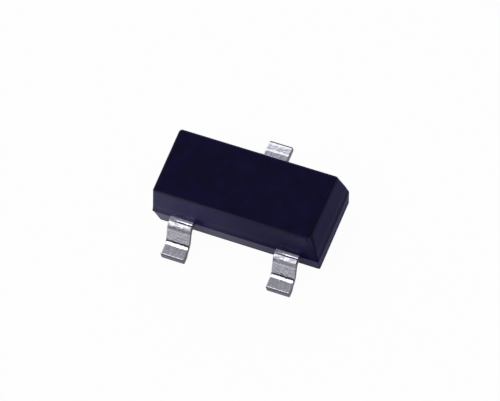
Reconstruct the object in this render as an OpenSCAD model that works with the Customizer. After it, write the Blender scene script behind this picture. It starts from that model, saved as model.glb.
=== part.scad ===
// Three-lead surface-mount transistor. A drafted epoxy moulding holds a stamped and formed leadframe,
// the silicon die on the collector's paddle and the two wires from the die to the other leads.
// The soles of the feet lie on Z = 0. The base and emitter leads point to -Y, the collector lead to +Y.

/* [Moulding] */
// Length of the moulding at its parting line
body_length = 3; // [2.8:0.01:3.04]
// Width of the moulding at its parting line, without the leads
body_width = 1.38; // [1.2:0.01:1.4]
// Height of the moulding above its parting line
upper_height = 0.66; // [0.6:0.005:0.74]
// Height of the moulding below its parting line
lower_height = 0.38; // [0.34:0.005:0.46]
// Gap between the moulding's underside and the board
standoff = 0.02; // [0.01:0.01:0.1]
// Draft of the long sides above the parting line, in degrees
side_draft = 8; // [4:0.25:12]
// Draft of the short ends above the parting line, in degrees
end_draft = 7; // [4:0.25:12]
// Draft of the long sides below the parting line, in degrees
lower_side_draft = 5; // [3:0.25:10]
// Draft of the short ends below the parting line, in degrees
lower_end_draft = 7.5; // [3:0.25:10]
// Radius of the upper half's upright corners at the parting line
corner_radius = 0.03; // [0.01:0.005:0.08]
// Radius of the upper half's upright corners at the top
rim_corner_radius = 0.05; // [0.045:0.005:0.1]
// Radius along the top edges
edge_radius = 0.045; // [0.02:0.005:0.045]
// Radius of the lower half's upright corners
lower_corner_radius = 0.025; // [0.012:0.001:0.04]
// Radius along the bottom edges
lower_edge_radius = 0.01; // [0.005:0.001:0.012]
// Height of the upright land on each side of the parting line
parting_land = 0.01; // [0.005:0.001:0.02]
// How far the upper half stands out beyond the lower half at the parting line
parting_step = 0.005; // [0.002:0.001:0.03]

/* [Leads] */
// Height of the leads' tops above the parting line, where they leave the moulding
lead_rise = 0.035; // [0.01:0.005:0.06]
// Distance between the centres of the base and emitter leads
lead_pitch = 1.9; // [1.8:0.01:2]
// Width of each lead outside the moulding
lead_width = 0.42; // [0.34:0.01:0.5]
// Thickness of the leadframe sheet
sheet = 0.125; // [0.09:0.005:0.16]
// Distance across the package from toe to toe
toe_span = 2.51; // [2.35:0.01:2.64]
// Length of the flat sole of each foot
foot_length = 0.16; // [0.1:0.01:0.2]
// Straight length of each lead between the moulding and its first bend
lead_stub = 0.035; // [0.02:0.005:0.06]
// Radius inside the upper bend
bend_radius = 0.06; // [0.04:0.005:0.09]
// Radius inside the lower bend, on top of the foot
heel_radius = 0.105; // [0.05:0.005:0.13]
// Radius along the upper edge of the toe, rolled over where the lead was cut off
toe_roll = 0.02; // [0.01:0.005:0.05]

/* [Leadframe inside the moulding] */
// Depth at which each lead widens inside the moulding
lead_grip = 0.16; // [0.1:0.01:0.2]
// Width of the bonding posts of the base and emitter leads
post_width = 0.56; // [0.52:0.01:0.64]
// Length of the bonding posts
post_length = 0.3; // [0.2:0.01:0.34]
// Gap between the collector's paddle and each post
frame_gap = 0.12; // [0.08:0.01:0.18]
// Width of the collector's paddle across the package
paddle_width = 0.7; // [0.6:0.01:0.8]

/* [Die and bond wires] */
// Side of the square die
die_side = 0.36; // [0.28:0.01:0.42]
// Thickness of the die
die_height = 0.15; // [0.1:0.01:0.2]
// Thickness of the layer that fastens the die to the paddle
attach_height = 0.02; // [0.01:0.005:0.03]
// Margin of that layer around the die
attach_margin = 0.03; // [0.015:0.005:0.05]
// Distance between the two bond pads on the die
pad_pitch = 0.18; // [0.14:0.01:0.18]
// Diameter of the bond wires
wire_diameter = 0.025; // [0.018:0.001:0.03]
// Diameter of the bond at each end of a wire
bond_diameter = 0.08; // [0.06:0.005:0.09]
// Height of the bond at each end of a wire
bond_height = 0.036; // [0.032:0.001:0.045]
// Rise of the wire loop above the die
loop_height = 0.2; // [0.14:0.01:0.24]

/* [Hidden] */

epoxy_colour = [0.09, 0.085, 0.14];
tin_colour = [0.72, 0.71, 0.74];
attach_colour = [0.62, 0.6, 0.56];
silicon_colour = [0.32, 0.34, 0.4];
gold_colour = [0.9, 0.72, 0.3];

corner_facets = 24;
bond_facets = 48;
bend_steps = 10;
wire_sides = 8;
wire_steps = 18;

// Heights above the board
parting_z = standoff + lower_height;
lead_top = parting_z + lead_rise;
die_bottom = lead_top + attach_height;
die_top = die_bottom + die_height;

// The lead's profile: two bends joined by a straight riser that is tangent to both. The lower bend
// is as wide as its radius asks for, up to the width at which the riser stands upright.
side_y = body_width / 2;
toe_y = toe_span / 2;
bend_start = side_y + lead_stub;
foot_start = toe_y - foot_length;
outer_radius = bend_radius + sheet;
lower_radius = min(heel_radius, foot_start - bend_start - outer_radius);
upper_centre = [bend_start, lead_top - outer_radius];
lower_centre = [foot_start, lower_radius + sheet];
centre_offset = lower_centre - upper_centre;
radius_sum = outer_radius + lower_radius;
riser_length = sqrt(centre_offset * centre_offset - radius_sum * radius_sum);
riser_angle = atan2(radius_sum, riser_length) - atan2(centre_offset.y, centre_offset.x);

// The leadframe's plan, measured outwards from the middle of the package
grip_y = side_y - lead_grip;
post_y = grip_y - post_length;
paddle_y = grip_y - paddle_width;
paddle_length = lead_pitch - post_width - 2 * frame_gap;
die_y = (grip_y + paddle_y) / 2;
stitch_y = (grip_y + post_y) / 2;

function arc(centre, radius, from, to) = [
    for (step = [0 : bend_steps])
        let (angle = from + (to - from) * step / bend_steps)
        centre + radius * [cos(angle), sin(angle)]
];

// Side view of a formed lead as [distance from the middle, height], from its inner end to its toe
function lead_profile(inner_y) = concat(
    [[inner_y, lead_top]],
    arc(upper_centre, outer_radius, 90, 90 - riser_angle),
    arc(lower_centre, lower_radius, 270 - riser_angle, 270),
    arc([toe_y - toe_roll, sheet - toe_roll], toe_roll, 90, 0),
    [[toe_y, 0]],
    arc(lower_centre, lower_radius + sheet, 270, 270 - riser_angle),
    arc(upper_centre, bend_radius, 90 - riser_angle, 90),
    [[inner_y, lead_top - sheet]]
);

// Plan view of a lead: a wide head inside the moulding and a plain strip past the toe
function lead_plan(inner_y, head_width) = [
    [-head_width / 2, inner_y - sheet], [head_width / 2, inner_y - sheet],
    [head_width / 2, grip_y], [lead_width / 2, grip_y],
    [lead_width / 2, toe_y + sheet], [-lead_width / 2, toe_y + sheet],
    [-lead_width / 2, grip_y], [-head_width / 2, grip_y]
];

// One lead, stamped to its plan and formed to its profile, pointing to +Y
module formed_lead(inner_y, head_width) {
    color(tin_colour)
        intersection() {
            translate([0, 0, -sheet])
                linear_extrude(height = lead_top + 2 * sheet)
                    polygon(lead_plan(inner_y, head_width));
            rotate([90, 0, 90])
                linear_extrude(height = head_width + lead_width, center = true)
                    polygon(lead_profile(inner_y));
        }
}

module front_lead(x) {
    translate([x, 0, 0])
        rotate([0, 0, 180])
            formed_lead(post_y, post_width);
}

// Outer half of a round rim's section, beside the axis of a corner
module rim_section(rim_radius, edge) {
    intersection() {
        translate([rim_radius, 0])
            circle(r = edge, $fn = corner_facets);
        translate([0, -edge])
            square([rim_radius + edge, 2 * edge]);
    }
}

// Half of the moulding, standing on the parting plane and drafted up to a rounded rim
module drafted_half(length, width, height, end_angle, side_angle, corner, rim_corner, edge) {
    rim_radius = rim_corner - edge;
    rise = height - parting_land - edge;
    rim_x = length / 2 - rise * tan(end_angle) - edge / cos(end_angle) - rim_radius;
    rim_y = width / 2 - rise * tan(side_angle) - edge / cos(side_angle) - rim_radius;
    hull() {
        for (x = [-1, 1], y = [-1, 1]) {
            translate([x * (length / 2 - corner), y * (width / 2 - corner), 0])
                cylinder(h = parting_land, r = corner, $fn = corner_facets);
            translate([x * rim_x, y * rim_y, height - edge])
                rotate_extrude($fn = corner_facets)
                    rim_section(rim_radius, edge);
        }
    }
}

module moulding_blank() {
    translate([0, 0, parting_z]) {
        drafted_half(
            body_length, body_width, upper_height, end_draft, side_draft,
            corner_radius, rim_corner_radius, edge_radius
        );
        mirror([0, 0, 1])
            drafted_half(
                body_length - 2 * parting_step, body_width - 2 * parting_step, lower_height,
                lower_end_draft, lower_side_draft, lower_corner_radius, lower_corner_radius, lower_edge_radius
            );
    }
}

// The moulding is cast round the leadframe, die and wires, so they are cut out of it at their own size
module moulded_body() {
    color(epoxy_colour)
        difference() {
            moulding_blank();
            base_lead();
            emitter_lead();
            collector_lead();
            die_attach();
            transistor_die();
            base_bond_wire();
            emitter_bond_wire();
        }
}

module base_lead() {
    front_lead(-lead_pitch / 2);
}

module emitter_lead() {
    front_lead(lead_pitch / 2);
}

module collector_lead() {
    formed_lead(paddle_y, paddle_length);
}

module square_slab(side, height, z) {
    translate([-side / 2, die_y - side / 2, z])
        cube([side, side, height]);
}

module die_attach() {
    color(attach_colour)
        square_slab(die_side + 2 * attach_margin, attach_height, lead_top);
}

module transistor_die() {
    color(silicon_colour)
        square_slab(die_side, die_height, die_bottom);
}

// Smooth step from 0 to 1, level at both ends
function ease(t) = t * t * (3 - 2 * t);

// Hump of height 1 that starts steeply, peaks a third of the way along and runs out level
function hump(t) = 27 / 4 * t * (1 - t) * (1 - t);

// Position along a wire, with t from 0 at the die to 1 at the post, as [distance, height].
// It leaves the die upright and lands level on the post.
function wire_point(t, span, from_z, to_z) = [
    span * (1 - cos(90 * t)),
    from_z + (to_z - from_z) * ease(t) + loop_height * hump(t)
];

function unit(v) = v / norm(v);

// A round tube along a list of [distance, height] points, standing in the XZ plane
module swept_wire(path) {
    last = len(path) - 1;
    points = [
        for (ring = [0 : last])
            let (ahead = unit(path[min(ring + 1, last)] - path[max(ring - 1, 0)]))
            for (side = [0 : wire_sides - 1])
                let (angle = 360 * side / wire_sides)
                let (lift = wire_diameter / 2 * sin(angle))
                [
                    path[ring].x - ahead.y * lift,
                    wire_diameter / 2 * cos(angle),
                    path[ring].y + ahead.x * lift
                ]
    ];
    walls = [
        for (ring = [0 : last - 1], side = [0 : wire_sides - 1])
            let (next_side = (side + 1) % wire_sides)
            let (low = ring * wire_sides, high = (ring + 1) * wire_sides)
            for (face = [
                [low + side, high + side, low + next_side],
                [low + next_side, high + side, high + next_side]
            ]) face
    ];
    start_cap = [for (side = [0 : wire_sides - 1]) side];
    end_cap = [for (side = [wire_sides - 1 : -1 : 0]) last * wire_sides + side];
    polyhedron(points, concat(walls, [start_cap, end_cap]));
}

// A wire from a pad on the die to the post at post_x, with a bond at each end
module bond_wire(pad_x, post_x) {
    pad = [pad_x, die_y];
    stitch = [post_x, -stitch_y];
    reach = stitch - pad;
    path = [
        for (step = [0 : wire_steps])
            wire_point(step / wire_steps, norm(reach), die_top + bond_height / 2, lead_top + bond_height / 2)
    ];
    color(gold_colour) {
        translate([pad.x, pad.y, 0])
            rotate([0, 0, atan2(reach.y, reach.x)])
                swept_wire(path);
        translate([pad.x, pad.y, die_top])
            cylinder(h = bond_height, d = bond_diameter, $fn = bond_facets);
        translate([stitch.x, stitch.y, lead_top])
            cylinder(h = bond_height, d = bond_diameter, $fn = bond_facets);
    }
}

module base_bond_wire() {
    bond_wire(-pad_pitch / 2, -lead_pitch / 2);
}

module emitter_bond_wire() {
    bond_wire(pad_pitch / 2, lead_pitch / 2);
}

moulded_body();
base_lead();
emitter_lead();
collector_lead();
die_attach();
transistor_die();
base_bond_wire();
emitter_bond_wire();
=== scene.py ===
import math

import bmesh
import bpy
from mathutils import Matrix, Vector


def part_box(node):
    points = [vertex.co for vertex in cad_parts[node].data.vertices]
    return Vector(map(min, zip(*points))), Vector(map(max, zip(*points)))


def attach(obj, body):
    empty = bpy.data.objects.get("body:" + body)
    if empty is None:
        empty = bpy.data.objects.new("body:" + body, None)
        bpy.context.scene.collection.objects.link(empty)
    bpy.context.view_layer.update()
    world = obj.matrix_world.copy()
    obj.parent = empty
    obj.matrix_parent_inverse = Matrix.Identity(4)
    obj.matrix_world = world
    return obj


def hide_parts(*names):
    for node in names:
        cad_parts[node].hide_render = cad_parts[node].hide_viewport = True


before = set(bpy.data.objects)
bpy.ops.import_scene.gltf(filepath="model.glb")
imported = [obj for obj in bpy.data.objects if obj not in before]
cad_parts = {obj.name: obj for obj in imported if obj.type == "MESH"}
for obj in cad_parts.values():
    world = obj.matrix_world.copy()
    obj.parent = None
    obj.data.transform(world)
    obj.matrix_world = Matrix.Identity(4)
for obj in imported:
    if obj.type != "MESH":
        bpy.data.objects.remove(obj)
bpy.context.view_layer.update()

# Pieces are modelled in millimetres, and each is turned into metres when it is finished
MM = 0.001


def box_mm(node):
    low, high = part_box(node)
    return low / MM, high / MM


# Sizes read from the frame
body_low, body_high = box_mm("moulded_body")
post_low, post_high = box_mm("emitter_lead")
paddle_low, paddle_high = box_mm("collector_lead")

BODY_LENGTH = body_high.x - body_low.x
BODY_WIDTH = body_high.y - body_low.y
SIDE_Y = BODY_WIDTH / 2
LEAD_TOP = paddle_high.z
TOE_Y = paddle_high.y
POST_X = (post_low.x + post_high.x) / 2
POST_WIDTH = post_high.x - post_low.x
POST_INNER_Y = -post_high.y
PADDLE_LENGTH = paddle_high.x - paddle_low.x
PADDLE_INNER_Y = paddle_low.y

# Drafts of the moulding's ends and long sides
UPPER_DRAFTS = (math.radians(7), math.radians(8))
LOWER_DRAFTS = (math.radians(6.9), math.radians(5.75))

# Upright corners of each half, by their sides in X and Y: the radius at the parting line, the radius at
# the rim, and how far the corner stands out
UPPER_CORNERS = {
    (-1, -1): (0.02, 0.05, 0.0),
    (-1, 1): (0.045, 0.06, 0.0),
    (1, -1): (0.02, 0.12, 0.0),
    (1, 1): (0.045, 0.06, 0.01),
}
LOWER_CORNERS = {sides: (0.03, 0.03, 0.0) for sides in UPPER_CORNERS}

# Edges of the moulding
EDGE_RADIUS = 0.05
LOWER_EDGE_RADIUS = 0.02
PARTING_LAND = 0.01
PARTING_STEP = 0.005
FLARE = 0.006
FLARE_HEIGHT = 0.16
FLARE_STEPS = 10
ROUND_STEPS = 8

# Sheet of the leads
LEAD_RISE = 0.035
LEAD_WIDTH = 0.42
SHEET = 0.125
LEAD_GRIP = 0.16
LEAD_STUB = 0.035
BEND_RADIUS = 0.06
FOOT_LENGTH = 0.16
HEEL_RADIUS = 0.118
REAR_FOOT_LENGTH = 0.29
REAR_HEEL_RADIUS = 0.05
REAR_SHIFT = -0.01

# Divisions of a lead's mesh, across it and along its stretches
COLUMNS = 36
STUB_STEPS = 3
BEND_STEPS = 40
RISER_STEPS = 20
FOOT_STEPS = 8
REAR_FOOT_STEPS = 30
TOE_STEPS = 12

PARTING_Z = LEAD_TOP - LEAD_RISE
UPPER_HEIGHT = body_high.z - PARTING_Z
LOWER_HEIGHT = PARTING_Z - body_low.z

# The lead's upper bend
GRIP_Y = SIDE_Y - LEAD_GRIP
BEND_START = SIDE_Y + LEAD_STUB
OUTER_RADIUS = BEND_RADIUS + SHEET
UPPER_CENTRE = Vector((0, BEND_START, LEAD_TOP - OUTER_RADIUS))

# Stamped edges and toes of the leads
TOE_BURR = 0.013
TOE_ZONE = 0.06
TOE_ROLL = 0.032
REAR_TOE_ROLL = 0.06
TOE_CORNER = 0.012
REAR_TOE_CORNER = 0.045
CUT_EDGE = 0.01
CUT_EDGE_STEPS = 3
SHEAR_TAPER = 0.019
TAPER_RUN_IN = 0.1
TAPER_BEFORE_HEEL = 0.06
TAPER_PAST_HEEL = 0.08
CUT_Y = TOE_Y + TOE_BURR

# The rear foot's slope and crease
SLOPE_LENGTH = 0.1
SLOPE_DROP = 0.016
CREASE_START = 1.05
CREASE_END = 1.09
CREASE_HEIGHT = 0.007
FOOT_TILT = math.radians(4)

# Groove on the upper bend, and its bands across the lead: from X to X, and their share of its depth
GROOVE_DEPTH = 0.0055
GROOVE_HALF_WIDTH = 0.023
GROOVE_ANGLE = math.radians(6.5)
GROOVE_BANDS = ((-0.5, 0.02, 1.0), (0.02, 0.08, 0.67), (0.08, 0.14, 0.33))

# Dents in the plating, and their strength along the lead as a share of their depth
DENT_SIZE = 0.024
DENT_STRETCH = 2
DENT_DEPTH = 0.006
DENT_FADE = 0.03
RISER_DENTS = 0.1
FOOT_DENTS = 0.3
REAR_FOOT_DENTS = 0.6
DENTED_FOOT_START = 0.96

# Points, edges and faces closer than this are taken as being at the same place
TOUCH = 0.0005

# Parts of a normal by which faces are told apart
STRAIGHT = 0.9
UPWARDS = 0.3
SIDE_MOST_Z = 0.3
SIDE_LEAST_X = 0.2
SHARP_ANGLE = math.radians(60)


def bend_y(degrees):
    """How far out the outside of the upper bend lies at an angle from its start."""
    return BEND_START + OUTER_RADIUS * math.sin(math.radians(degrees))


# Where the upper bend's plating is dented, scuffed and darkened in flecks
DENT_END = bend_y(42)
SCUFF_START = bend_y(15)
SCUFF_END = bend_y(59)
FLECK_START = bend_y(9.5)
FLECK_END = bend_y(14.5)


# Modelling by hand


def select_only(piece):
    bpy.ops.object.select_all(action="DESELECT")
    piece.select_set(True)
    bpy.context.view_layer.objects.active = piece


def open_piece(name, add_primitive, location, extent):
    """Adds a primitive at its size and place, with nothing else selected, and opens it in edit mode."""
    bpy.ops.object.select_all(action="DESELECT")
    add_primitive(size=1, location=location)
    piece = bpy.context.object
    piece.name = name
    piece.data.name = name
    piece.scale = extent
    bpy.ops.object.transform_apply(location=True, rotation=True, scale=True)
    bpy.ops.object.mode_set(mode="EDIT")
    return piece


def edit_only(piece):
    """Makes a closed piece the only selected object and opens it in edit mode."""
    select_only(piece)
    bpy.ops.object.mode_set(mode="EDIT")


def pick(piece, kind, rule):
    """Selects the verts, edges or faces of the open mesh that the rule accepts, and nothing else."""
    bpy.ops.mesh.select_mode(type=kind)
    bpy.ops.mesh.select_all(action="DESELECT")
    mesh = bmesh.from_edit_mesh(piece.data)
    parts = {"VERT": mesh.verts, "EDGE": mesh.edges, "FACE": mesh.faces}[kind]
    for part in parts:
        if rule(part):
            part.select_set(True)
    mesh.select_flush_mode()
    bmesh.update_edit_mesh(piece.data)


def extrude(way):
    bpy.ops.mesh.extrude_region_move(TRANSFORM_OT_translate={"value": way})


def close_piece():
    """Merges doubles, points the faces outwards and leaves edit mode."""
    bpy.ops.mesh.select_all(action="SELECT")
    bpy.ops.mesh.remove_doubles(threshold=TOUCH / 10)
    bpy.ops.mesh.normals_make_consistent(inside=False)
    bpy.ops.object.mode_set(mode="OBJECT")


def copy_piece(piece, name):
    """Copies a piece with a mesh of its own."""
    select_only(piece)
    bpy.ops.object.duplicate(linked=False)
    copy = bpy.context.object
    copy.name = name
    copy.data.name = name
    return copy


def place(piece, turn=0.0, shift=(0, 0, 0), scale=1.0):
    """Turns, moves and scales a piece, and puts the result in its mesh."""
    select_only(piece)
    piece.rotation_euler.z = turn
    piece.location = shift
    piece.scale = (scale, scale, scale)
    bpy.ops.object.transform_apply(location=True, rotation=True, scale=True)


def apply_modifier(piece, kind, **settings):
    bpy.context.view_layer.objects.active = piece
    modifier = piece.modifiers.new(kind.title(), kind)
    for key, value in settings.items():
        setattr(modifier, key, value)
    bpy.ops.object.modifier_apply(modifier=modifier.name)


def shade_smooth(piece, degrees):
    """Shades a piece smooth across edges that turn by less than an angle."""
    select_only(piece)
    bpy.ops.object.shade_smooth_by_angle(angle=math.radians(degrees))


def near(a, b):
    return abs(a - b) < TOUCH


def bulge(distance, half_width):
    """1 at a distance of 0, falling smoothly to 0 at the half width."""
    if abs(distance) >= half_width:
        return 0.0
    return math.cos(math.pi / 2 * distance / half_width) ** 2


def rise(value, start, end):
    """0 before start, 1 after end, and smooth between them."""
    share = min(1.0, max(0.0, (value - start) / (end - start)))
    return share * share * (3 - 2 * share)


def round_off(radius, into):
    """How far a round corner has drawn back at a distance into it."""
    return radius - math.sqrt(max(0.0, radius ** 2 - max(0.0, into) ** 2))


# The epoxy moulding


def pick_corner(piece, z, side_x, side_y):
    """Selects the points of one upright corner that lie at a height."""

    def in_corner(vert):
        return near(vert.co.z, z) and vert.co.x * side_x > 0 and vert.co.y * side_y > 0

    pick(piece, "VERT", in_corner)


def draw_half(name, direction, inset, height, drafts, corners, edge, flare=0.0):
    """Draws one half of the moulding, up or down from the parting plane, with its draft and its rim.

    The flare is how far the half spreads beyond its straight draft at the parting line.
    """
    length = BODY_LENGTH - 2 * inset
    width = BODY_WIDTH - 2 * inset
    root_z = PARTING_Z - direction * inset / 2
    drawn_radius = max(root_radius for root_radius, _, _ in corners.values())
    piece = open_piece(name, bpy.ops.mesh.primitive_plane_add, (0, 0, root_z), (length, width, 1))
    bpy.ops.mesh.bevel(offset=drawn_radius, segments=ROUND_STEPS, affect="VERTICES")
    extrude((0, 0, direction * (inset / 2 + PARTING_LAND)))
    drafted = height - PARTING_LAND
    flare_steps = FLARE_STEPS if flare else 0
    levels = [FLARE_HEIGHT * step / flare_steps for step in range(1, flare_steps + 1)] + [drafted]
    for below, level in zip([0.0] + levels, levels):
        extrude((0, 0, direction * (level - below)))
    rows = [(root_z, 0.0), (PARTING_Z + direction * PARTING_LAND, 0.0)]
    rows += [(PARTING_Z + direction * (PARTING_LAND + level), level) for level in levels]
    for row_z, level in rows:
        spread = flare * max(0.0, 1 - level / FLARE_HEIGHT) ** 2
        in_x, in_y = (flare - spread + level * (math.tan(draft) - flare / drafted) for draft in drafts)
        for (side_x, side_y), (root_radius, rim_radius, fullness) in corners.items():
            pick_corner(piece, row_z, side_x, side_y)
            growth = (root_radius + (rim_radius - root_radius) * level / drafted) / drawn_radius
            corner_point = (side_x * length / 2, side_y * width / 2, row_z)
            bpy.ops.transform.resize(value=(growth, growth, 1), center_override=corner_point)
            fuller = fullness * min(1.0, level / FLARE_HEIGHT)
            bpy.ops.transform.translate(value=(side_x * (fuller - in_x), side_y * (fuller - in_y), 0))
    rim_z = PARTING_Z + direction * height
    pick(piece, "EDGE", lambda e: all(near(v.co.z, rim_z) for v in e.verts))
    setback = edge * math.tan((math.pi / 2 - drafts[1]) / 2)
    bpy.ops.mesh.bevel(offset=setback, segments=ROUND_STEPS, affect="EDGES", clamp_overlap=False)
    close_piece()
    return piece


def model_moulding():
    """The moulding's two halves. The lower one is rooted a little way in the upper one, and joined to it."""
    piece = draw_half("epoxy_moulding", 1, 0, UPPER_HEIGHT, UPPER_DRAFTS, UPPER_CORNERS, EDGE_RADIUS, FLARE)
    lower = draw_half(
        "lower_half", -1, PARTING_STEP, LOWER_HEIGHT, LOWER_DRAFTS, LOWER_CORNERS, LOWER_EDGE_RADIUS
    )
    apply_modifier(piece, "BOOLEAN", operation="UNION", object=lower, solver="EXACT")
    bpy.data.objects.remove(lower)
    return piece


def seat_in_moulding(moulding, inner_piece):
    """Cuts the room that a lead fills out of the moulding."""
    apply_modifier(moulding, "BOOLEAN", operation="DIFFERENCE", object=inner_piece, solver="EXACT")


# The tinned leads


def model_formed_strip(name, foot_length, heel_radius, foot_steps):
    """A lead without its head, pointing to +Y: grip, two bends joined by a straight riser, and foot."""
    foot_start = TOE_Y - foot_length
    lower_centre = Vector((0, foot_start, heel_radius + SHEET))
    centre_offset = lower_centre - UPPER_CENTRE
    radius_sum = OUTER_RADIUS + heel_radius
    riser_length = math.sqrt(centre_offset.length_squared - radius_sum ** 2)
    riser_angle = math.atan2(radius_sum, riser_length) - math.atan2(centre_offset.z, centre_offset.y)
    riser_way = Vector((0, math.cos(riser_angle), -math.sin(riser_angle)))
    middle = (0, (GRIP_Y + SIDE_Y) / 2, LEAD_TOP - SHEET / 2)
    piece = open_piece(name, bpy.ops.mesh.primitive_cube_add, middle, (LEAD_WIDTH, SIDE_Y - GRIP_Y, SHEET))
    clear = LEAD_WIDTH / 2 - 2 * CUT_EDGE
    for column in range(COLUMNS + 1):
        bpy.ops.mesh.select_all(action="SELECT")
        bpy.ops.mesh.bisect(plane_co=(clear * (2 * column / COLUMNS - 1), 0, 0), plane_no=(1, 0, 0))
    pick(piece, "FACE", lambda f: f.normal.y > STRAIGHT)
    for _ in range(STUB_STEPS):
        extrude((0, LEAD_STUB / STUB_STEPS, 0))
    bpy.ops.mesh.spin(steps=BEND_STEPS, angle=riser_angle, center=UPPER_CENTRE, axis=(1, 0, 0))
    for _ in range(RISER_STEPS):
        extrude(riser_way * (riser_length / RISER_STEPS))
    bpy.ops.mesh.spin(steps=BEND_STEPS, angle=riser_angle, center=lower_centre, axis=(-1, 0, 0))
    for _ in range(foot_steps):
        extrude((0, (CUT_Y - TOE_ZONE - foot_start) / foot_steps, 0))
    for i in range(TOE_STEPS):
        reach = [math.sin(math.pi / 2 * step / TOE_STEPS) for step in (i, i + 1)]
        extrude((0, TOE_ZONE * (reach[1] - reach[0]), 0))
    close_piece()
    return piece


def pick_in_row(piece, row, start, end):
    """Selects the points of a row across the lead, from start to end in X."""

    def in_row(vert):
        return start < vert.co.x <= end and near(vert.co.y, row.y) and near(vert.co.z, row.z)

    pick(piece, "VERT", in_row)


def press_groove(piece):
    """Presses the forming tool's groove into the upper bend, row by row, fading to one side."""
    edit_only(piece)
    mesh = bmesh.from_edit_mesh(piece.data)
    angles = set()
    for vert in mesh.verts:
        arm = Vector((0, vert.co.y, vert.co.z)) - UPPER_CENTRE
        angle = math.atan2(arm.y, arm.z)
        if near(arm.length, OUTER_RADIUS) and 0 < angle < 2 * GROOVE_ANGLE:
            angles.add(round(angle, 4))
    for angle in sorted(angles):
        depth = GROOVE_DEPTH * bulge(OUTER_RADIUS * (angle - GROOVE_ANGLE), GROOVE_HALF_WIDTH)
        if depth > 0:
            outwards = Vector((0, math.sin(angle), math.cos(angle)))
            row = UPPER_CENTRE + outwards * OUTER_RADIUS
            for start, end, share in GROOVE_BANDS:
                pick_in_row(piece, row, start, end)
                bpy.ops.transform.translate(value=-share * depth * outwards)
    close_piece()


def narrow_row(y, narrowing):
    """Draws the selected points of a row in by the same share, to the given loss at the lead's sides."""
    share = 1 - narrowing / (LEAD_WIDTH / 2)
    bpy.ops.transform.resize(value=(share, 1, 1), center_override=(0, y, 0))


def taper_sides(piece, foot_length):
    """Narrows the lead's underside from the moulding to the heel, as the break of a stamped edge does."""
    edit_only(piece)
    heel = TOE_Y - foot_length
    mesh = bmesh.from_edit_mesh(piece.data)
    under = {v.index: v.co.y for v in mesh.verts if v.co.y > SIDE_Y + TOUCH and v.normal.z < 0}
    for row in sorted({round(y, 4) for y in under.values()}):
        begun = rise(row, SIDE_Y, BEND_START + TAPER_RUN_IN)
        ended = rise(row, heel - TAPER_BEFORE_HEEL, heel + TAPER_PAST_HEEL)
        narrowing = SHEAR_TAPER * begun * (1 - ended)
        if narrowing > 0:
            pick(piece, "VERT", lambda v: v.index in under and abs(v.co.y - row) < TOUCH / 8)
            narrow_row(row, narrowing)
    close_piece()


def shape_foot(piece, foot_length, corner, surface_drop):
    """Rounds the toe's corners and lowers the top of the foot, row by row."""
    edit_only(piece)
    mesh = bmesh.from_edit_mesh(piece.data)
    foot_start = TOE_Y - foot_length
    rows = sorted({round(v.co.y, 4) for v in mesh.verts if v.co.y > foot_start + TOUCH})
    for row in rows:
        narrowing = round_off(corner, corner - (CUT_Y - row))
        if narrowing > 0:
            pick(piece, "VERT", lambda v: near(v.co.y, row))
            narrow_row(row, narrowing)
        drop = surface_drop(row)
        if drop != 0:
            pick(piece, "VERT", lambda v: near(v.co.y, row) and near(v.co.z, SHEET))
            bpy.ops.transform.translate(value=(0, 0, -drop))
    close_piece()


def front_foot_drop(y):
    """The front feet are flat up to the rolled edge of their toes."""
    return round_off(TOE_ROLL, TOE_ROLL - (CUT_Y - y))


def rear_foot_drop(y):
    """The rear foot has a crease across it, and slopes down to a toe that is rolled over more."""
    slope = SLOPE_DROP * max(0.0, 1 - (CUT_Y - y) / SLOPE_LENGTH) ** 2
    crease = CREASE_HEIGHT * rise(y, CREASE_START, CREASE_END)
    tilt = math.tan(FOOT_TILT) * max(0.0, y - CREASE_END)
    return round_off(REAR_TOE_ROLL, REAR_TOE_ROLL - (CUT_Y - y)) + slope + crease + tilt


def soften_edges(piece):
    """Takes the sharpness off the sheared edges along the lead's sides."""
    edit_only(piece)

    def is_side(face):
        return abs(face.normal.z) < SIDE_MOST_Z and abs(face.normal.x) > SIDE_LEAST_X

    def runs_along_side(edge):
        outside = all(v.co.y > SIDE_Y - TOUCH for v in edge.verts)
        lengthwise = abs(edge.verts[0].co.y - edge.verts[1].co.y) > TOUCH
        if not (outside and lengthwise and edge.is_manifold):
            return False
        first, second = edge.link_faces
        return is_side(first) != is_side(second) and edge.calc_face_angle() > SHARP_ANGLE

    pick(piece, "EDGE", runs_along_side)
    bpy.ops.mesh.bevel(offset=CUT_EDGE, segments=CUT_EDGE_STEPS, affect="EDGES", clamp_overlap=False)
    close_piece()


def add_head(piece, inner_y, head_width):
    """Draws the strip on into the moulding and widens it to a wire post, or to the die's paddle."""
    edit_only(piece)
    pick(piece, "FACE", lambda f: f.normal.y < -STRAIGHT and near(f.calc_center_median().y, GRIP_Y))
    extrude((0, inner_y - GRIP_Y, 0))
    for side in (-1, 1):
        pick(piece, "FACE", lambda f: f.normal.x * side > STRAIGHT and f.calc_center_median().y < GRIP_Y)
        extrude((side * (head_width - LEAD_WIDTH) / 2, 0, 0))
    close_piece()


def dent_weight(vert):
    """How strongly the plating is dented at a point: most on the upper bend, and least on the riser."""
    y = abs(vert.co.y)
    if y < BEND_START or vert.normal.z < UPWARDS:
        return 0.0
    if y < DENT_END:
        return min(1.0, (y - BEND_START) / DENT_FADE, RISER_DENTS + (DENT_END - y) / DENT_FADE)
    if y > DENTED_FOOT_START:
        return FOOT_DENTS if vert.co.y < 0 else REAR_FOOT_DENTS
    return RISER_DENTS


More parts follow.
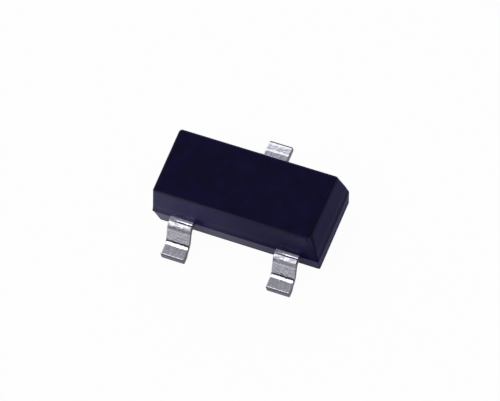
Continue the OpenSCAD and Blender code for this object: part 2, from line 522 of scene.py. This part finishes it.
def dent_surface(piece, pattern_shift):
    """Gives the upper bend and the foot the shallow dents that forming leaves in the plating."""
    group = piece.vertex_groups.new(name="formed")
    for vert in piece.data.vertices:
        weight = dent_weight(vert)
        if weight > 0:
            group.add([vert.index], weight, "REPLACE")
    bpy.ops.object.empty_add(location=pattern_shift)
    grid = bpy.context.object
    grid.scale = (DENT_STRETCH, 1, 1)
    bpy.context.view_layer.update()
    clouds = bpy.data.textures.new("dents", "CLOUDS")
    clouds.noise_scale = DENT_SIZE
    apply_modifier(
        piece, "DISPLACE", texture=clouds, texture_coords="OBJECT", texture_coords_object=grid,
        vertex_group="formed", strength=DENT_DEPTH, mid_level=0.5,
    )
    bpy.data.objects.remove(grid)
    bpy.data.textures.remove(clouds)


# Shader nodes


def add_node(tree, kind, **settings):
    node = tree.nodes.new(kind)
    for key, value in settings.items():
        setattr(node, key, value)
    return node


def combine(tree, operation, first, *others):
    """Joins values by one operation, from left to right. Each is a number or another node's output."""
    result = first
    for other in others:
        node = add_node(tree, "ShaderNodeMath", operation=operation)
        for socket, value in zip(node.inputs, (result, other)):
            if isinstance(value, (int, float)):
                socket.default_value = value
            else:
                tree.links.new(value, socket)
        result = node.outputs[0]
    return result


def absolute(tree, value):
    node = add_node(tree, "ShaderNodeMath", operation="ABSOLUTE")
    tree.links.new(value, node.inputs[0])
    return node.outputs[0]


def value_between(tree, factor, low, high, start=0.0, end=1.0):
    """Low up to the start, high from the end on, and smooth between them."""
    ramp = add_node(tree, "ShaderNodeMapRange", interpolation_type="SMOOTHSTEP")
    ramp.inputs["From Min"].default_value = start
    ramp.inputs["From Max"].default_value = end
    ramp.inputs["To Min"].default_value = low
    ramp.inputs["To Max"].default_value = high
    tree.links.new(factor, ramp.inputs["Value"])
    return ramp.outputs["Result"]


def value_along(tree, place_socket, low, high, start, end):
    """As value_between, by a place on the piece, with the start and the end in millimetres."""
    return value_between(tree, place_socket, low, high, start * MM, end * MM)


def zone_along(tree, place_socket, start, end, fade):
    """1 from start to end along the piece, fading to 0 outside."""
    after = value_along(tree, place_socket, 0, 1, start - fade, start)
    before = value_along(tree, place_socket, 1, 0, end, end + fade)
    return combine(tree, "MULTIPLY", after, before)


def colour_between(tree, factor, low, high):
    """Mixes two colours. Each is a plain colour or another node's output."""
    mix = add_node(tree, "ShaderNodeMix", data_type="RGBA")
    for label, colour in (("A", low), ("B", high)):
        if isinstance(colour, tuple):
            mix.inputs[label].default_value = (*colour, 1)
        else:
            tree.links.new(colour, mix.inputs[label])
    tree.links.new(factor, mix.inputs["Factor"])
    return mix.outputs["Result"]


def raise_surface(tree, shader, height, depth, base=None):
    """Bumps the surface by a height map. The depth is in millimetres."""
    relief = add_node(tree, "ShaderNodeBump")
    relief.inputs["Strength"].default_value = 1
    relief.inputs["Distance"].default_value = depth * MM
    tree.links.new(height, relief.inputs["Height"])
    if base is not None:
        tree.links.new(base, relief.inputs["Normal"])
    tree.links.new(relief.outputs["Normal"], shader.inputs["Normal"])
    return relief.outputs["Normal"]


def place_and_facing(tree):
    """The place on the piece and the way that its surface faces, each split into X, Y and Z."""
    coordinates = add_node(tree, "ShaderNodeTexCoord")
    where = add_node(tree, "ShaderNodeSeparateXYZ")
    tree.links.new(coordinates.outputs["Object"], where.inputs[0])
    facing = add_node(tree, "ShaderNodeSeparateXYZ")
    tree.links.new(coordinates.outputs["Normal"], facing.inputs[0])
    return where.outputs, facing.outputs


# Shader groups


def new_group(name, inputs, outputs):
    group = bpy.data.node_groups.new(name, "ShaderNodeTree")
    for label, value in inputs.items():
        socket = group.interface.new_socket(label, in_out="INPUT", socket_type="NodeSocketFloat")
        socket.default_value = value
    for label in outputs:
        group.interface.new_socket(label, in_out="OUTPUT", socket_type="NodeSocketFloat")
    return group, group.nodes.new("NodeGroupInput"), group.nodes.new("NodeGroupOutput")


def use_group(tree, group, **values):
    node = add_node(tree, "ShaderNodeGroup", node_tree=group)
    for label, value in values.items():
        node.inputs[label.replace("_", " ").title()].default_value = value
    return node.outputs


def scaled_place(tree, stretch):
    """The place on the piece in millimetres, stretched along its axes."""
    coordinates = add_node(tree, "ShaderNodeTexCoord")
    scale = add_node(tree, "ShaderNodeVectorMath", operation="MULTIPLY")
    scale.inputs[1].default_value = [s / MM for s in stretch]
    tree.links.new(coordinates.outputs["Object"], scale.inputs[0])
    return scale.outputs[0]


def add_noise(tree, place_socket, scale_socket, detail, roughness=0.5):
    noise = add_node(tree, "ShaderNodeTexNoise")
    noise.inputs["Detail"].default_value = detail
    noise.inputs["Roughness"].default_value = roughness
    tree.links.new(place_socket, noise.inputs["Vector"])
    tree.links.new(scale_socket, noise.inputs["Scale"])
    return noise.outputs["Fac"]


def moulded_grain_group():
    """Clouds of tone and a fine grain, as on filled resin and silicon. Scales are per millimetre."""
    scales = {"Cloud Scale": 2.0, "Grain Scale": 60.0}
    group, given, result = new_group("moulded_grain", scales, ["Clouds", "Grain"])
    where = scaled_place(group, (1, 1, 1))
    group.links.new(add_noise(group, where, given.outputs["Cloud Scale"], 3), result.inputs["Clouds"])
    group.links.new(add_noise(group, where, given.outputs["Grain Scale"], 2, 0.6), result.inputs["Grain"])
    return group


def worked_metal_group():
    """Fine streaks along Y and shallow dents that are longer along X. Scales are per millimetre."""
    scales = {"Streak Scale": 60.0, "Dent Scale": 20.0}
    group, given, result = new_group("worked_metal", scales, ["Streaks", "Dents"])
    along = scaled_place(group, (1, 0.08, 0.08))
    across = scaled_place(group, (0.4, 1, 1))
    group.links.new(add_noise(group, along, given.outputs["Streak Scale"], 4, 0.6), result.inputs["Streaks"])
    group.links.new(add_noise(group, across, given.outputs["Dent Scale"], 3), result.inputs["Dents"])
    return group


GRAIN = moulded_grain_group()
WORKED = worked_metal_group()

# Most of a noise's values lie between these
NOISE_SPAN = (0.3, 0.7)


# Materials

# Colours of the materials, each pair from its darker to its lighter tone
RESIN_TONES = ((0.0027, 0.0021, 0.0155), (0.0045, 0.0034, 0.029))
# Painted sheen: a bluer, lighter colour for the moulding's front faces
RESIN_PAINTED_SHEEN = (0.011, 0.0088, 0.076)
# Painted highlight for the rounded rim of the moulding's top
RESIN_RIM_HIGHLIGHT = (0.047, 0.043, 0.085)
RESIN_BLOOM = (0.2, 0.15, 1, 1)
TIN_TONES = ((0.58, 0.575, 0.68), (0.86, 0.855, 0.95))
TIN_DARK_FLECKS = (0.16, 0.11, 0.12)
TIN_SMEARED = (0.3, 0.28, 0.31)
SHEARED_METAL = (0.26, 0.23, 0.28)
# Painted shade: the sheared metal made much darker on the rear lead's toe
SHADED_REAR_TOE_METAL = (0.08, 0.07, 0.09)
SOLDER_TONES = ((0.42, 0.41, 0.39), (0.56, 0.55, 0.52))
SILICON_TONES = ((0.12, 0.13, 0.16), (0.19, 0.2, 0.24))
GOLD_TONES = ((0.85, 0.58, 0.18), (0.94, 0.7, 0.28))

# Refractive indices that stand for the gloss of the moulding's faces. The resin's own is the largest
RESIN_INDEX = 1.28
FRONT_LEFT_INDEX = 1.275
FRONT_RIGHT_INDEX = 1.095
TOP_INDEX = 1.14
END_INDEX = 1.1
LOWER_END_INDEX = 1.055

# The specular level at which a shader keeps its own index
PLAIN_LEVEL = 0.5


def new_material(name):
    """A material with only its output."""
    material = bpy.data.materials.new(name)
    material.use_nodes = True
    tree = material.node_tree
    tree.nodes.clear()
    return material, tree, add_node(tree, "ShaderNodeOutputMaterial")


def new_finish(name):
    """A material with a Principled shader."""
    material, tree, output = new_material(name)
    shader = add_node(tree, "ShaderNodeBsdfPrincipled")
    tree.links.new(shader.outputs["BSDF"], output.inputs["Surface"])
    return material, tree, shader


def resin_colour(tree, where, facing, upper, clouds):
    """Clouded resin, with a painted blue sheen on the front that is strongest to the left, and a painted
    pale highlight on the rim in front and on the right.
    """
    tone = value_between(tree, clouds, 0, 1, *NOISE_SPAN)
    plain = colour_between(tree, tone, *RESIN_TONES)
    # Painted sheen on the front faces, mostly on the upper half and strongest to the left
    on_front = value_between(tree, facing["Y"], 1, 0, -0.95, -0.6)
    on_upper = value_between(tree, upper, 0.25, 1)
    to_left = value_along(tree, where["X"], 1, 0, -1.6, 1.3)
    blue = combine(tree, "MULTIPLY", on_front, on_upper, to_left)
    with_painted_sheen = colour_between(tree, blue, plain, RESIN_PAINTED_SHEEN)
    # Painted highlight: a pale band on the rounded rim, on faces turned to the front or the right, weaker to
    # the right
    turned = value_between(tree, facing["Z"], 1, 0, 0.72, 0.985)
    near_rim = value_along(tree, where["Z"], 0, 1, body_high.z - 0.05, body_high.z - 0.02)
    to_front_or_right = combine(tree, "SUBTRACT", facing["X"], facing["Y"])
    on_front_or_right = value_between(tree, to_front_or_right, 0, 1, 0, 0.15)
    fading = value_along(tree, where["X"], 1, 0.45, -0.4, 1.3)
    painted_rim_highlight = combine(tree, "MULTIPLY", turned, near_rim, on_front_or_right, fading)
    return colour_between(tree, painted_rim_highlight, with_painted_sheen, RESIN_RIM_HIGHLIGHT)


def resin_index(tree, where, facing, upper):
    """The index of each face: falling to the right on the front, and even on the right end and the top.

    It falls a little next to the parting line and along the bottom edge, and rises on the corner
    between the front and the end.
    """
    height = where["Z"]
    along_front = value_along(tree, where["X"], FRONT_LEFT_INDEX, FRONT_RIGHT_INDEX, -1.6, 1.5)
    to_right = value_along(tree, where["X"], 0, 0.07, 0.2, 1.3)
    to_rim = value_along(tree, height, 0, 1, PARTING_Z + 0.15, PARTING_Z + 0.55)
    front = combine(tree, "ADD", along_front, combine(tree, "MULTIPLY", to_right, to_rim))
    on_end = value_between(tree, facing["X"], 0, 1, 0.3, 0.85)
    above_lower_end = combine(tree, "MULTIPLY", upper, END_INDEX - LOWER_END_INDEX)
    end = combine(tree, "ADD", LOWER_END_INDEX, above_lower_end)
    towards_end = combine(tree, "MULTIPLY", on_end, combine(tree, "SUBTRACT", end, front))
    on_corner = combine(tree, "MULTIPLY", on_end, combine(tree, "SUBTRACT", 1, on_end))
    softening = combine(tree, "MULTIPLY", on_corner, value_between(tree, to_rim, 0.22, 0.6))
    thinning = value_along(tree, height, -0.035, 0, PARTING_Z + 0.02, PARTING_Z + 0.2)
    above_parting = combine(tree, "MULTIPLY", upper, thinning)
    below_parting = value_between(tree, upper, -0.018, 0)
    bottom_edge = value_along(tree, height, -0.15, 0, 0.05, 0.1)
    next_to_edges = combine(tree, "ADD", above_parting, below_parting, bottom_edge)
    sides = combine(tree, "ADD", front, towards_end, softening, next_to_edges)
    upwards = value_between(tree, facing["Z"], 0, 1, 0.5, 0.95)
    towards_top = combine(tree, "MULTIPLY", upwards, combine(tree, "SUBTRACT", TOP_INDEX, sides))
    return combine(tree, "MAXIMUM", combine(tree, "ADD", sides, towards_top), 1)


def level_of_index(tree, index):
    """The specular level that makes a shader with the resin's index mirror as one with another index."""
    below = combine(tree, "SUBTRACT", index, 1)
    above = combine(tree, "ADD", index, 1)
    mirrored = combine(tree, "POWER", combine(tree, "DIVIDE", below, above), 2)
    resin_mirrored = ((RESIN_INDEX - 1) / (RESIN_INDEX + 1)) ** 2
    return combine(tree, "MULTIPLY", mirrored, PLAIN_LEVEL / resin_mirrored)


def black_epoxy():
    """Moulded resin with a blue bloom, duller from half way up the moulding."""
    material, tree, shader = new_finish("black_epoxy")
    grain = use_group(tree, GRAIN, cloud_scale=5, grain_scale=40)
    where, facing = place_and_facing(tree)
    upper = value_along(tree, where["Z"], 0, 1, PARTING_Z - 0.004, PARTING_Z + 0.004)
    tree.links.new(resin_colour(tree, where, facing, upper, grain["Clouds"]), shader.inputs["Base Color"])
    rough = value_between(tree, grain["Grain"], 0.36, 0.46, *NOISE_SPAN)
    polish = value_along(tree, where["Z"], -0.26, 0, 0.5, 0.65)
    tree.links.new(combine(tree, "ADD", rough, polish), shader.inputs["Roughness"])
    level = level_of_index(tree, resin_index(tree, where, facing, upper))
    tree.links.new(level, shader.inputs["Specular IOR Level"])
    shader.inputs["IOR"].default_value = RESIN_INDEX
    shader.inputs["Sheen Weight"].default_value = 0.22
    shader.inputs["Sheen Tint"].default_value = RESIN_BLOOM
    shader.inputs["Sheen Roughness"].default_value = 0.5
    raise_surface(tree, shader, grain["Grain"], 0.0008)
    return material


def tin_colour(tree, out, worked, mottling, patches):
    """Mottled plating, with broken dark flecks in a band at the start of the upper bend, and smeared further
    out on it.
    """
    bright = colour_between(tree, value_between(tree, mottling, 0, 1, 0.8, 1.2), *TIN_TONES)
    # Dark flecks, broken by the dents, in a band near the start of the upper bend
    on_fleck_band = zone_along(tree, out, FLECK_START, FLECK_END, 0.006)
    broken = value_between(tree, worked["Dents"], 0, 0.9, 0.45, 0.56)
    flecked = colour_between(tree, combine(tree, "MULTIPLY", on_fleck_band, broken), bright, TIN_DARK_FLECKS)
    dented_bend = zone_along(tree, out, FLECK_END, DENT_END, 0.01)
    smears = combine(tree, "MULTIPLY", dented_bend, value_between(tree, patches, 0.25, 0))
    return colour_between(tree, smears, flecked, TIN_SMEARED)


def matte_tin():
    """Plating that is scuffed on the outside of the upper bend, with bare sheared sides and toes, and
    painted shade darkening the rear lead's toe.
    """
    material, tree, shader = new_finish("matte_tin")
    worked = use_group(tree, WORKED, streak_scale=70, dent_scale=25)
    scuffs = use_group(tree, WORKED, streak_scale=30, dent_scale=48)
    where, facing = place_and_facing(tree)
    out = absolute(tree, where["Y"])
    patches = value_between(tree, worked["Dents"], 0, 1, 0.4, 0.6)
    mottling = combine(tree, "ADD", worked["Streaks"], scuffs["Dents"])
    plated = tin_colour(tree, out, worked, mottling, patches)
    side = value_between(tree, absolute(tree, facing["X"]), 0, 1, 0.6, 0.95)
    steep = value_between(tree, absolute(tree, facing["Y"]), 0, 1, 0.3, 0.45)
    at_toe = value_along(tree, out, 0, 1, CUT_Y - 0.055, CUT_Y - 0.035)
    sheared = combine(tree, "MAXIMUM", side, combine(tree, "MULTIPLY", steep, at_toe))
    # Painted shade: the rear lead's toe gets a much darker copy of the sheared metal
    behind = value_along(tree, where["Y"], 0, 1, 0, 0.1)
    shaded_rear_toe = combine(tree, "MULTIPLY", behind, at_toe)
    bare = colour_between(tree, shaded_rear_toe, SHEARED_METAL, SHADED_REAR_TOE_METAL)
    tree.links.new(colour_between(tree, sheared, plated, bare), shader.inputs["Base Color"])
    on_bend = zone_along(tree, out, SCUFF_START, SCUFF_END, 0.015)
    scuffed = combine(tree, "MULTIPLY", on_bend, value_between(tree, patches, 1, 0.7))
    on_stub = zone_along(tree, out, SIDE_Y, BEND_START, 0.03)
    worn_rough = combine(tree, "MULTIPLY", combine(tree, "MAXIMUM", sheared, scuffed), 0.48)
    stub_rough = combine(tree, "MULTIPLY", on_stub, 0.4)
    plate_rough = value_between(tree, worked["Streaks"], 0.16, 0.22, *NOISE_SPAN)
    rough = combine(tree, "MAXIMUM", plate_rough, worn_rough, stub_rough)
    tree.links.new(rough, shader.inputs["Roughness"])
    shader.inputs["Metallic"].default_value = 1
    dented = raise_surface(tree, shader, worked["Dents"], 0.0005)
    streaked = raise_surface(tree, shader, worked["Streaks"], 0.0003, dented)
    raise_surface(tree, shader, combine(tree, "MULTIPLY", scuffs["Dents"], on_bend), 0.0016, streaked)
    return material


def soft_solder():
    material, tree, shader = new_finish("soft_solder")
    worked = use_group(tree, WORKED, streak_scale=40, dent_scale=25)
    tree.links.new(colour_between(tree, worked["Dents"], *SOLDER_TONES), shader.inputs["Base Color"])
    tree.links.new(value_between(tree, worked["Streaks"], 0.35, 0.55), shader.inputs["Roughness"])
    shader.inputs["Metallic"].default_value = 1
    raise_surface(tree, shader, worked["Dents"], 0.002)
    return material


def sawn_silicon():
    material, tree, shader = new_finish("sawn_silicon")
    grain = use_group(tree, GRAIN, cloud_scale=8, grain_scale=150)
    tree.links.new(colour_between(tree, grain["Clouds"], *SILICON_TONES), shader.inputs["Base Color"])
    tree.links.new(value_between(tree, grain["Grain"], 0.12, 0.25), shader.inputs["Roughness"])
    raise_surface(tree, shader, grain["Grain"], 0.0003)
    return material


def gold_wire():
    material, tree, shader = new_finish("gold_wire")
    worked = use_group(tree, WORKED, streak_scale=120, dent_scale=60)
    tree.links.new(colour_between(tree, worked["Streaks"], *GOLD_TONES), shader.inputs["Base Color"])
    tree.links.new(value_between(tree, worked["Dents"], 0.15, 0.3), shader.inputs["Roughness"])
    shader.inputs["Metallic"].default_value = 1
    raise_surface(tree, shader, worked["Dents"], 0.0005)
    return material


def give_material(piece, material):
    piece.data.materials.clear()
    piece.data.materials.append(material)


# The pieces

moulding = model_moulding()

collector = model_formed_strip("collector_tinned", REAR_FOOT_LENGTH, REAR_HEEL_RADIUS, REAR_FOOT_STEPS)
shape_foot(collector, REAR_FOOT_LENGTH, REAR_TOE_CORNER, rear_foot_drop)
soften_edges(collector)
add_head(collector, PADDLE_INNER_Y, PADDLE_LENGTH)

base = model_formed_strip("base_tinned", FOOT_LENGTH, HEEL_RADIUS, FOOT_STEPS)
press_groove(base)
shape_foot(base, FOOT_LENGTH, TOE_CORNER, front_foot_drop)
taper_sides(base, FOOT_LENGTH)
soften_edges(base)
add_head(base, POST_INNER_Y, POST_WIDTH)
emitter = copy_piece(base, "emitter_tinned")

place(base, turn=math.pi, shift=(-POST_X, 0, 0))
place(emitter, turn=math.pi, shift=(POST_X, 0, 0))
place(collector, shift=(REAR_SHIFT, 0, 0))
for lead in (base, emitter, collector):
    seat_in_moulding(moulding, lead)
shade_smooth(moulding, 35)
apply_modifier(moulding, "WEIGHTED_NORMAL", keep_sharp=True)

# Each lead with its node and the place of its own pattern of dents
leads = (
    (base, "base_lead", (0.3, 0.1, 0)),
    (emitter, "emitter_lead", (0.8, 0.4, 0.2)),
    (collector, "collector_lead", (0.1, 0.7, 0.5)),
)
tin = matte_tin()
for lead, node, pattern_shift in leads:
    dent_surface(lead, pattern_shift)
    shade_smooth(lead, 40)
    place(lead, scale=MM)
    give_material(lead, tin)
    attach(lead, "root")
    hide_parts(node)

place(moulding, scale=MM)
give_material(moulding, black_epoxy())
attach(moulding, "root")
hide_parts("moulded_body")

gold = gold_wire()
inside = {
    "die_attach": soft_solder(),
    "transistor_die": sawn_silicon(),
    "base_bond_wire": gold,
    "emitter_bond_wire": gold,
}
for node, material in inside.items():
    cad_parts[node].material_slots[0].material = material


# Floor, light and camera

PAPER = (0.9, 0.9, 0.9, 1)
FLOOR_SEEN = 0.97
FLOOR_MIRRORED = 0.38
DARK_SIDE = 0.03
PALE_ROOM = 0.37
WHITE_WALL = 1.65
SHADED_END = 0.3


def white_floor():
    """White paper that shows as white, and still takes a soft shadow."""
    material, tree, output = new_material("white_floor")
    paper = add_node(tree, "ShaderNodeBsdfDiffuse")
    paper.inputs["Color"].default_value = PAPER
    glow = add_node(tree, "ShaderNodeEmission")
    glow.inputs["Color"].default_value = (1, 1, 1, 1)
    path = add_node(tree, "ShaderNodeLightPath").outputs
    seen = combine(tree, "MULTIPLY", path["Is Camera Ray"], FLOOR_SEEN)
    reached = combine(tree, "MAXIMUM", path["Is Glossy Ray"], path["Is Transmission Ray"])
    mirrored = combine(tree, "MULTIPLY", reached, FLOOR_MIRRORED)
    mix = add_node(tree, "ShaderNodeMixShader")
    tree.links.new(combine(tree, "ADD", seen, mirrored), mix.inputs["Fac"])
    tree.links.new(paper.outputs[0], mix.inputs[1])
    tree.links.new(glow.outputs[0], mix.inputs[2])
    tree.links.new(mix.outputs[0], output.inputs["Surface"])
    return material


bpy.ops.object.select_all(action="DESELECT")
bpy.ops.mesh.primitive_plane_add(size=2, location=(0, 0, 0))
floor = bpy.context.object
floor.name = "floor"
give_material(floor, white_floor())


def studio_world():
    """A pale room with a white wall behind the part and a dark side in front of it, below the light."""
    world = bpy.data.worlds.new("studio")
    bpy.context.scene.world = world
    world.use_nodes = True
    tree = world.node_tree
    tree.nodes.clear()
    output = add_node(tree, "ShaderNodeOutputWorld")
    background = add_node(tree, "ShaderNodeBackground")
    coordinates = add_node(tree, "ShaderNodeTexCoord")
    split = add_node(tree, "ShaderNodeSeparateXYZ")
    tree.links.new(coordinates.outputs["Generated"], split.inputs[0])
    direction = split.outputs
    behind = value_between(tree, direction["Y"], 0, 1, -0.2, 0.2)
    above = value_between(tree, direction["Z"], 0, 1, 0.65, 0.85)
    pale = value_between(tree, combine(tree, "MAXIMUM", behind, above), DARK_SIDE, PALE_ROOM)
    low = value_between(tree, direction["Z"], 1, 0, 0.74, 0.9)
    wall = combine(tree, "MULTIPLY", behind, low, WHITE_WALL - PALE_ROOM)
    shade = value_between(tree, direction["X"], 1, SHADED_END, -0.1, 0.7)
    level = combine(tree, "MULTIPLY", combine(tree, "ADD", pale, wall), shade)
    tree.links.new(level, background.inputs["Strength"])
    tree.links.new(background.outputs[0], output.inputs["Surface"])


def soft_box(name, direction, distance, width, height, power):
    data = bpy.data.lights.new(name, "AREA")
    data.shape = "RECTANGLE"
    data.size = width
    data.size_y = height
    data.energy = power
    lamp = bpy.data.objects.new(name, data)
    lamp.location = Vector(direction).normalized() * distance
    lamp.rotation_euler = (-lamp.location).to_track_quat("-Z", "Y").to_euler()
    bpy.context.scene.collection.objects.link(lamp)


studio_world()
soft_box("key_softbox", (-0.4, -0.409, 0.82), distance=0.15, width=0.12, height=0.1, power=0.07)

# The camera's axes and distance, from a fit of the solids' edges to the photograph
CAMERA_RIGHT = Vector((0.91316, 0.37848, -0.15132)).normalized()
CAMERA_DOWN = Vector((0.28442, -0.85756, -0.42859)).normalized()
CAMERA_AWAY = CAMERA_RIGHT.cross(CAMERA_DOWN)
CAMERA_DISTANCE = 104.03 * MM
CAMERA_AIM = (CAMERA_RIGHT * -0.07446 + CAMERA_DOWN * -0.17724) * MM

camera_data = bpy.data.cameras.new("camera")
camera_data.sensor_width = 36
camera_data.lens = 452.8
camera_data.clip_start = 0.005
camera_data.clip_end = 10
camera = bpy.data.objects.new("camera", camera_data)
axes = Matrix((CAMERA_RIGHT, -CAMERA_DOWN, -CAMERA_AWAY)).transposed().to_4x4()
camera.matrix_world = Matrix.Translation(CAMERA_AIM - CAMERA_AWAY * CAMERA_DISTANCE) @ axes
bpy.context.scene.collection.objects.link(camera)
bpy.context.scene.camera = camera
bpy.context.scene.view_settings.view_transform = "Standard"
